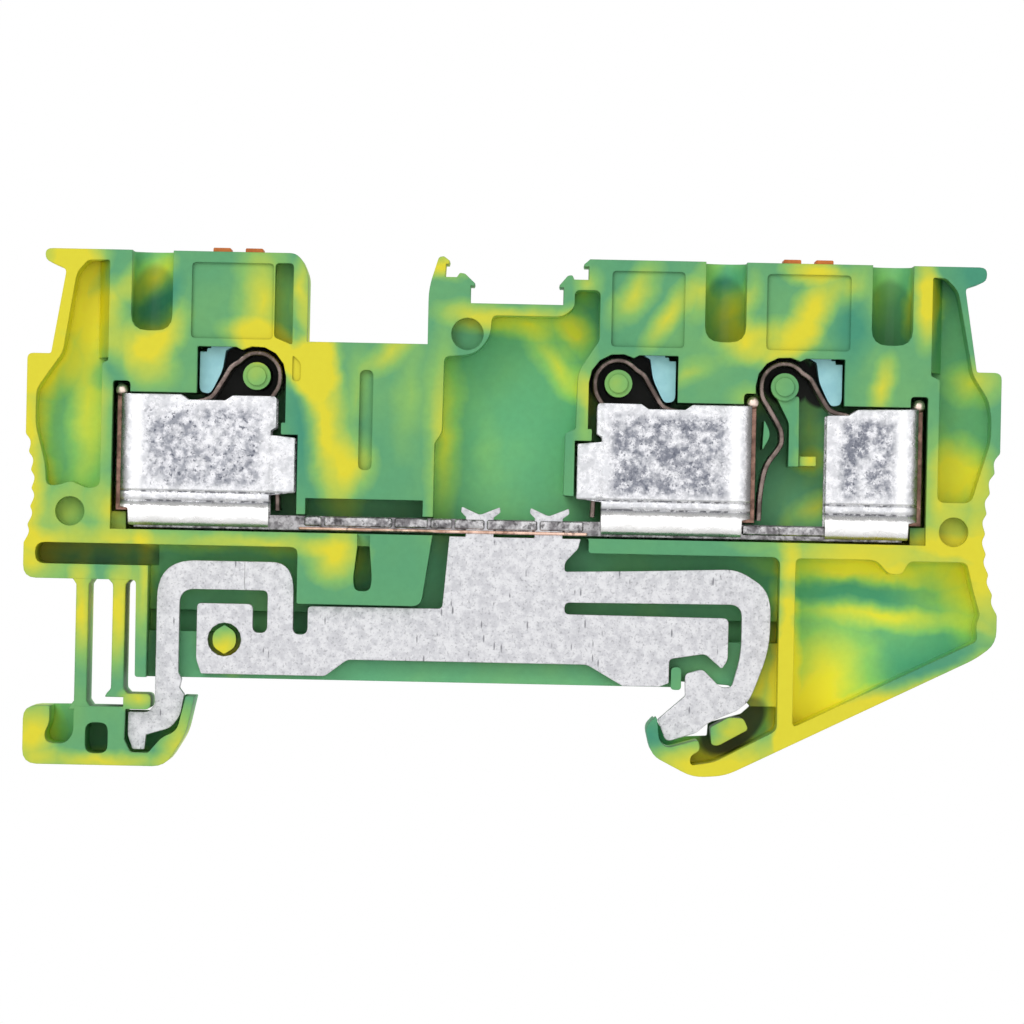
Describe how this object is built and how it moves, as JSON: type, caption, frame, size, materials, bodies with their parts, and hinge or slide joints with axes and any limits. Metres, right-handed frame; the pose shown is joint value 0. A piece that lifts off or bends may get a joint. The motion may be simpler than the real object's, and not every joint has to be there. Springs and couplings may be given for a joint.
{
  "type": "din rail terminal block",
  "caption": "Slim rail-mounted earth terminal block with push-in spring clamps, press buttons, a current bar and a metal foot that grips a top-hat rail.",
  "frame": {"origin": "on the flat that rests on the rail, midway between the rail edges and midway across the width", "axes": "+X along the block towards the end with two clamps, +Y out of the closed side, +Z away from the rail"},
  "size_m": [0.0662, 0.0062, 0.0353],
  "materials": {
    "green_polyamide": "moulded, satin, green marbled with yellow",
    "tinned_sheet": "tin-plated sheet, fine speckle",
    "tinned_bar": "tin-plated copper, dull",
    "tinned_cage": "tin-plated, cloudy",
    "copper_plate": "bare copper edge",
    "spring_steel": "dark tempered spring steel",
    "blue_nylon": "moulded, satin",
    "orange_nylon": "moulded, satin"
  },
  "bodies": {
    "block": {"housing": "green_polyamide", "rail_foot": "tinned_sheet", "rail_foot_arm": "tinned_sheet", "latch_leg_outer": "green_polyamide", "latch_leg_inner": "green_polyamide", "current_bar": "tinned_bar", "clamp_cage_left": "tinned_cage", "contact_plate_left": "copper_plate", "clamp_spring_left": "spring_steel", "clamp_cage_middle": "tinned_cage", "contact_plate_middle": "copper_plate", "clamp_spring_middle": "spring_steel", "clamp_cage_right": "tinned_cage", "contact_plate_right": "copper_plate", "clamp_spring_right": "spring_steel"},
    "latch": {"latch_foot": "green_polyamide", "rail_foot_hook": "tinned_sheet"},
    "button_left": {"push_button_left": "blue_nylon", "button_cap_left": "orange_nylon"},
    "leg_left": {"clamp_leg_left": "spring_steel"},
    "button_middle": {"push_button_middle": "blue_nylon", "button_cap_middle": "orange_nylon"},
    "leg_middle": {"clamp_leg_middle": "spring_steel"},
    "button_right": {"push_button_right": "blue_nylon", "button_cap_right": "orange_nylon"},
    "leg_right": {"clamp_leg_right": "spring_steel"}
  },
  "joints": [
    {"name": "latch_slide", "type": "slide", "parent": "block", "child": "latch", "axis": [-1, 0, 0], "range_m": [0, 0.0012], "stiffness_N_per_m": 6000, "deforming": ["latch_leg_outer", "latch_leg_inner", "rail_foot_arm"]},
    {"name": "press_left", "type": "slide", "parent": "block", "child": "button_left", "axis": [0, 0, -1], "range_m": [0, 0.0014], "stiffness_N_per_m": 4000},
    {"name": "press_middle", "type": "slide", "parent": "block", "child": "button_middle", "axis": [0, 0, -1], "range_m": [0, 0.0014], "stiffness_N_per_m": 4000},
    {"name": "press_right", "type": "slide", "parent": "block", "child": "button_right", "axis": [0, 0, -1], "range_m": [0, 0.0014], "stiffness_N_per_m": 4000},
    {"name": "bend_left", "type": "hinge", "parent": "block", "child": "leg_left", "pos_m": [-0.01245, 0, 0.02065], "axis": [0, -1, 0], "range_deg": [0, 24.5]},
    {"name": "bend_middle", "type": "hinge", "parent": "block", "child": "leg_middle", "pos_m": [0.0122, 0, 0.02065], "axis": [0, 1, 0], "range_deg": [0, 24.5]},
    {"name": "bend_right", "type": "hinge", "parent": "block", "child": "leg_right", "pos_m": [0.02355, 0, 0.02065], "axis": [0, 1, 0], "range_deg": [0, 24.5]}
  ],
  "couplings": [
    {"joint": "bend_left", "follows": "press_left", "rad_per_m": 300},
    {"joint": "bend_middle", "follows": "press_middle", "rad_per_m": 300},
    {"joint": "bend_right", "follows": "press_right", "rad_per_m": 300}
  ]
}
